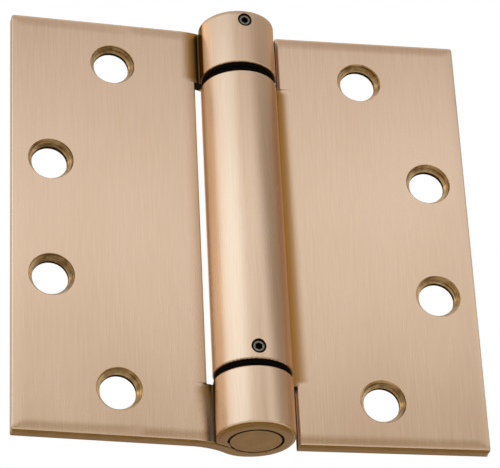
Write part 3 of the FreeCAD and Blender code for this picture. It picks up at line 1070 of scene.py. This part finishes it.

# %% [markdown]
# The plug in the bottom knuckle lies flush with its end, with a small chamfer whose faces are
# painted dark as shade, which makes a dark ring. Above its head a thinner journal stands up
# into the barrel.

# %% Plug in the bottom knuckle
plug_chamfer = 0.45
pivot_head_top = knuckle_low - thrust_washer
pivot_radius = bore_radius - seat_room
pivot_reach = 7.6
pivot_tip = barrel_low + lower_spigot + pivot_reach
pivot_section = [
    (pivot_radius - plug_chamfer - 0.1, -leaf_top),
    (pivot_radius - plug_chamfer, -leaf_top + 0.03),
    (pivot_radius, -leaf_top + plug_chamfer),
    (pivot_radius, pivot_head_top),
    (journal_radius, pivot_head_top),
    (journal_radius, pivot_tip),
]
pivot = turned("pivot_plug_turned", pivot_section, 128)
wear(pivot, plug_finish, painted_shade)
# the chamfer is painted dark as shade
for face in pivot.data.polygons:
    at_end = face.center.z / MM < -leaf_top + plug_chamfer
    if at_end and face.center.xy.length / MM > pivot_radius - plug_chamfer:
        face.material_index = 1
seat(pivot, "knuckle_leaf", "pivot_plug")

# %% [markdown]
# The plug in the top knuckle is turned with a hexagon key to wind the spring, so it has a
# socket, which a six-sided drill cuts. A groove round its head takes the point of the set
# screw, and its lower end is cross drilled for the driver's pin.

# %% Plug in the top knuckle
adjuster_radius = bore_radius - running_room
adjuster_top = leaf_top - 0.4
adjuster_head = knuckle_high + thrust_room + thrust_washer
driver_height = 4.6
adjuster_end = barrel_high - upper_spigot - turning_room - driver_height
groove_half = 1.1 + turning_room
groove_radius = adjuster_radius - 0.6
adjuster_section = [
    (journal_radius, adjuster_end),
    (journal_radius, adjuster_head),
    (adjuster_radius, adjuster_head),
    (adjuster_radius, top_screw_z - groove_half),
    (groove_radius, top_screw_z - groove_half),
    (groove_radius, top_screw_z + groove_half),
    (adjuster_radius, top_screw_z + groove_half),
    (adjuster_radius, adjuster_top - plug_chamfer),
    (adjuster_radius - plug_chamfer, adjuster_top),
]
adjuster = turned("adjusting_plug_turned", adjuster_section, 128)
wear(adjuster, plug_finish)
socket_flats = 3.97
socket_corner = socket_flats / math.sqrt(3)
socket_section = [
    (socket_corner * 0.05, adjuster_top - 6.6),
    (socket_corner, adjuster_top - 6.0),
    (socket_corner, adjuster_top - 0.25),
    (socket_corner + 0.5, adjuster_top + 0.25),
]
socket_tool = turned("socket_tool", socket_section, 6)
wear(socket_tool, plug_finish)
socket_tool.rotation_euler = (0, 0, open_turn)
carve(adjuster, socket_tool)
pin_radius, pin_reach = 0.92, 6
pin_drill = turned("pin_drill", [(pin_radius, -pin_reach), (pin_radius, pin_reach)], 32)
wear(pin_drill, plug_finish)
pin_height = barrel_high - upper_spigot - turning_room - driver_height / 2
laid_over(pin_drill, (0, 0, pin_height), open_turn)
carve(adjuster, pin_drill)
seat(adjuster, "adjuster", "adjusting_plug")

# %% [markdown]
# A socket set screw is a short rod with a broken rim, a hexagon socket with a drilled cone at
# its bottom, and a thinner point. Both are the same screw, so it is made by one function.

# %% Set screws
def set_screw(name, z, point_reach, turn):
    length = sheet_thickness - 0.25
    chamfer = 0.3
    section = [(screw_radius - 0.45, 0), (screw_radius, 0.3), (screw_radius, length - chamfer),
               (screw_radius - chamfer, length), (1.1, length), (1.1, length + point_reach)]
    screw = turned(name, section, 64)
    wear(screw, oxide, painted_shade)
    # the screw's rim, sides and socket are painted dark as shade; only its front face is oxide
    for face in screw.data.polygons:
        face.material_index = 0 if face.center.z / MM < 0.05 else 1
    wide = 1.6 / math.sqrt(3)
    key_section = [(wide + 0.18, -0.15), (wide, 0.05), (wide, 1.5), (wide * 0.05, 1.9)]
    key = turned("key", key_section, 6)
    wear(key, painted_shade)
    carve(screw, key)
    return laid_over(screw, (0, -outer_radius + 0.25, z), turn)


top_screw = set_screw("set_screw_top", top_screw_z, 0.38, open_turn)
seat(top_screw, "knuckle_leaf", "top_set_screw")
barrel_screw = set_screw("set_screw_barrel", barrel_screw_z, 0.62, 0.0)
seat(barrel_screw, "barrel_leaf", "barrel_set_screw")

# %% [markdown]
# The pieces inside the barrel keep the construction model's own shapes, which are right, and
# only get a finish in their material slots.

# %% Finish of what lies inside
slots = {
    "spring_steel": ["torsion_spring"],
    "sintered_bronze": ["rod_tip_bush", "pivot_bush"],
    "plain_steel": ["adjuster_thrust_washer", "spring_driver", "driver_pin", "guide_rod",
                    "upper_spring_washer", "lower_spring_washer", "lower_spring_anchor",
                    "pivot_thrust_washer"],
}
for finish, nodes in slots.items():
    for node in nodes:
        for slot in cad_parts[node].material_slots:
            slot.material = hidden_finish[finish]
print("carried over:", sum(len(nodes) for nodes in slots.values()), "pieces")

# %% [markdown]
# The hinge hangs in a pale studio. The floor lies far below, because the camera looks up at
# the hinge. It is a round sheet with a border, and its paper has a faint mottle.

# %% Floor
floor_height, floor_radius, floor_border = -1.15, 0.95, 0.1
bpy.ops.object.select_all(action="DESELECT")
bpy.ops.mesh.primitive_circle_add(vertices=96, radius=floor_radius, fill_type="NGON",
                                  location=(0, 0, floor_height))
floor = named("studio_floor")
open_mesh(floor, "FACE")
bpy.ops.mesh.select_all(action="SELECT")
bpy.ops.mesh.inset(thickness=floor_border)
close_mesh()
paper, sheet = new_finish("pale_paper")
mottle = object_place(sheet).noise((9, 9, 9), 3.0)
paper_colour = mottle.blended((0.80, 0.80, 0.79, 1.0), (0.86, 0.86, 0.85, 1.0))
close_finish(sheet, paper_colour, 0.0, mottle * 0.1 + 0.85, mottle, 1e-3)
wear(floor, paper)
floor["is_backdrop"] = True

# %% [markdown]
# Two large soft lamps stand in front, as windows would: a tall one to the left, and a wide
# one to the right of the camera and above it. They light what is matt: the black pieces, the
# brown of the folds and the floor. They are left out of reflections, where their hard outlines
# would show, and the walls of the studio, in the next steps, take their place there.

# %% Soft lamps
def soft_lamp(name, azimuth, elevation, distance, width, height, radiance, colour):
    """Azimuth is counted from the front, towards the right; radiance is its face's brightness."""
    turn, rise = math.radians(azimuth), math.radians(elevation)
    level = math.cos(rise)
    direction = Vector((math.sin(turn) * level, -math.cos(turn) * level, math.sin(rise)))
    data = bpy.data.lights.new(name, "AREA")
    data.shape = "RECTANGLE"
    data.size, data.size_y = width, height
    data.energy = radiance * math.pi * width * height
    data.color = colour
    lamp = bpy.data.objects.new(name, data)
    bpy.context.scene.collection.objects.link(lamp)
    lamp.location = direction * distance
    lamp.rotation_mode = "QUATERNION"
    lamp.rotation_quaternion = direction.to_track_quat("Z", "Y")
    lamp.visible_camera = False
    lamp.visible_glossy = False


lamp_white = (1.0, 0.99, 0.97)
soft_lamp("tall_left_lamp", -50, 29, 1.1, 0.60, 0.80, 1.0, lamp_white)
soft_lamp("wide_front_lamp", 22, 29.5, 1.1, 0.75, 0.28, 1.0, lamp_white)
print("lamps:", len(bpy.data.lights))

# %% [markdown]
# The world does three jobs, told apart by Light Path. The camera sees plain white, matt
# surfaces are lit by an even soft white, and reflections see a studio with walls of its own.
# A long lens sees a flat of metal as the mirror of one small patch of the walls, and the
# round barrel as the mirror of all of them, side by side. Three numbers say where a
# reflection looks: to the side, to the back and up.

# %% Where a reflection looks
world = bpy.data.worlds.new("studio")
world.use_nodes = True
world.node_tree.nodes.clear()
bpy.context.scene.world = world
sky = Shade(world.node_tree)
direction = sky.node("ShaderNodeTexCoord", {}, {}, "Generated")
side = direction.vector("DOT_PRODUCT", (1, 0, 0), "Value")
back = direction.vector("DOT_PRODUCT", (0, 1, 0), "Value")
up = direction.vector("DOT_PRODUCT", (0, 0, 1), "Value")

# %% [markdown]
# The walls are laid round the hinge one after another, each blended over those before it. The
# left wall draws the bright stripe down the barrel, and the front wall lies across both
# leaves. The right wall is dim, and its edge leans, so its shade on the barrel is wider at
# the top. Behind it a warm patch gives the fold beside the barrel its glow.

# %% Walls round the hinge
left_wall = (1.66, 1.88, 2.04, 1.0)
middle_wall = (1.22, 1.22, 1.20, 1.0)
front_wall = (1.50, 1.55, 1.60, 1.0)
side_wall = (1.60, 1.66, 1.66, 1.0)
far_left_wall = (2.1, 1.65, 1.25, 1.0)
right_wall = (0.36, 0.30, 0.23, 1.0)
warm_wall = (1.12, 0.76, 0.38, 1.0)
back_wall = (1.0, 0.96, 0.90, 1.0)
walls = side.ramped(-0.50, -0.15).blended(left_wall, middle_wall)
walls = side.ramped(-0.05, 0.25).blended(walls, front_wall)
walls = back.ramped(-0.45, -0.15).blended(walls, side_wall)
walls = back.ramped(0.0, 0.4).blended(walls, far_left_wall)
slanted = side + up.held(0.38, 0.60) * 3.2 - 1.55
walls = slanted.ramped(0.33, 0.76).blended(walls, right_wall)
behind_right = back.ramped(0.0, 0.35) * side.ramped(0.25, 0.5)
walls = (behind_right * (1 - up.ramped(0.49, 0.54))).blended(walls, warm_wall)
straight_back = back.ramped(0.6, 0.88) * (1 - side.ramped(0.1, 0.4))
walls = straight_back.blended(walls, back_wall)

# %% [markdown]
# Low down, the walls in front fall into a warm shade, which darkens the lower ends of the
# leaves, and a small lift moves the start of that fall from place to place. High up, the
# walls fade into a dimmer band, and above it the ceiling is pale again.

# %% Low walls and ceiling
soft_wall = (0.92, 0.89, 0.85, 1.0)
under_wall = (0.60, 0.53, 0.44, 1.0)
low_front_wall = (0.50, 0.42, 0.30, 1.0)
high_wall = (0.66, 0.60, 0.54, 1.0)
ceiling = (1.25, 1.20, 1.10, 1.0)
shade_below = up.ramped(-0.42, -0.22).blended(under_wall, soft_wall)
low_front = up.ramped(0.08, 0.28).blended(shade_below, low_front_wall)
low_walls = back.ramped(0.1, 0.5).blended(low_front, shade_below)
in_front = side.ramped(-0.35, 0.0)
lift = side.ramped(-0.35, -0.10) * 0.03 - side.ramped(0.0, 0.09) * 0.03
lift = lift + side.ramped(0.12, 0.24) * 0.084 - side.ramped(0.30, 0.50) * 0.078
walls = (up - lift).ramped(0.34, 0.42).blended(low_walls, walls)
walls = (up.ramped(0.508, 0.555) * (in_front * 0.35 + 0.65)).blended(walls, high_wall)
walls = up.ramped(0.56, 0.66).blended(walls, high_wall)
walls = up.ramped(0.75, 0.92).blended(walls, ceiling)

# %% [markdown]
# Last, each kind of ray gets its own world, and the colours are shown as they are reckoned.

# %% One world for each kind of ray
ambient = (0.75, 0.75, 0.75, 1.0)
white = (1.0, 1.0, 1.0, 1.0)
seen = sky.node("ShaderNodeLightPath", {}, {}, "Is Camera Ray")
mirrored = sky.node("ShaderNodeLightPath", {}, {}, "Is Glossy Ray")
passed = sky.node("ShaderNodeLightPath", {}, {}, "Is Transmission Ray")
light = (mirrored + passed).blended(ambient, walls)
light = seen.blended(light, white)
backdrop = sky.node("ShaderNodeBackground", {}, {"Color": light, "Strength": 1.0})
sky.node("ShaderNodeOutputWorld", {}, {"Surface": backdrop})
print("world nodes:", len(world.node_tree.nodes))

bpy.context.scene.view_settings.view_transform = "Standard"

# %% [markdown]
# The dressed hinge has to keep the size of the construction model, so both boxes are printed
# side by side.

# %% Size of both boxes
seen_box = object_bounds()
boxes = {"cad": [list(corner) for corner in cad_box], "visual": [list(corner) for corner in seen_box]}
for name, box in boxes.items():
    print(name, "box in mm:", [[round(value / MM, 3) for value in corner] for corner in box])
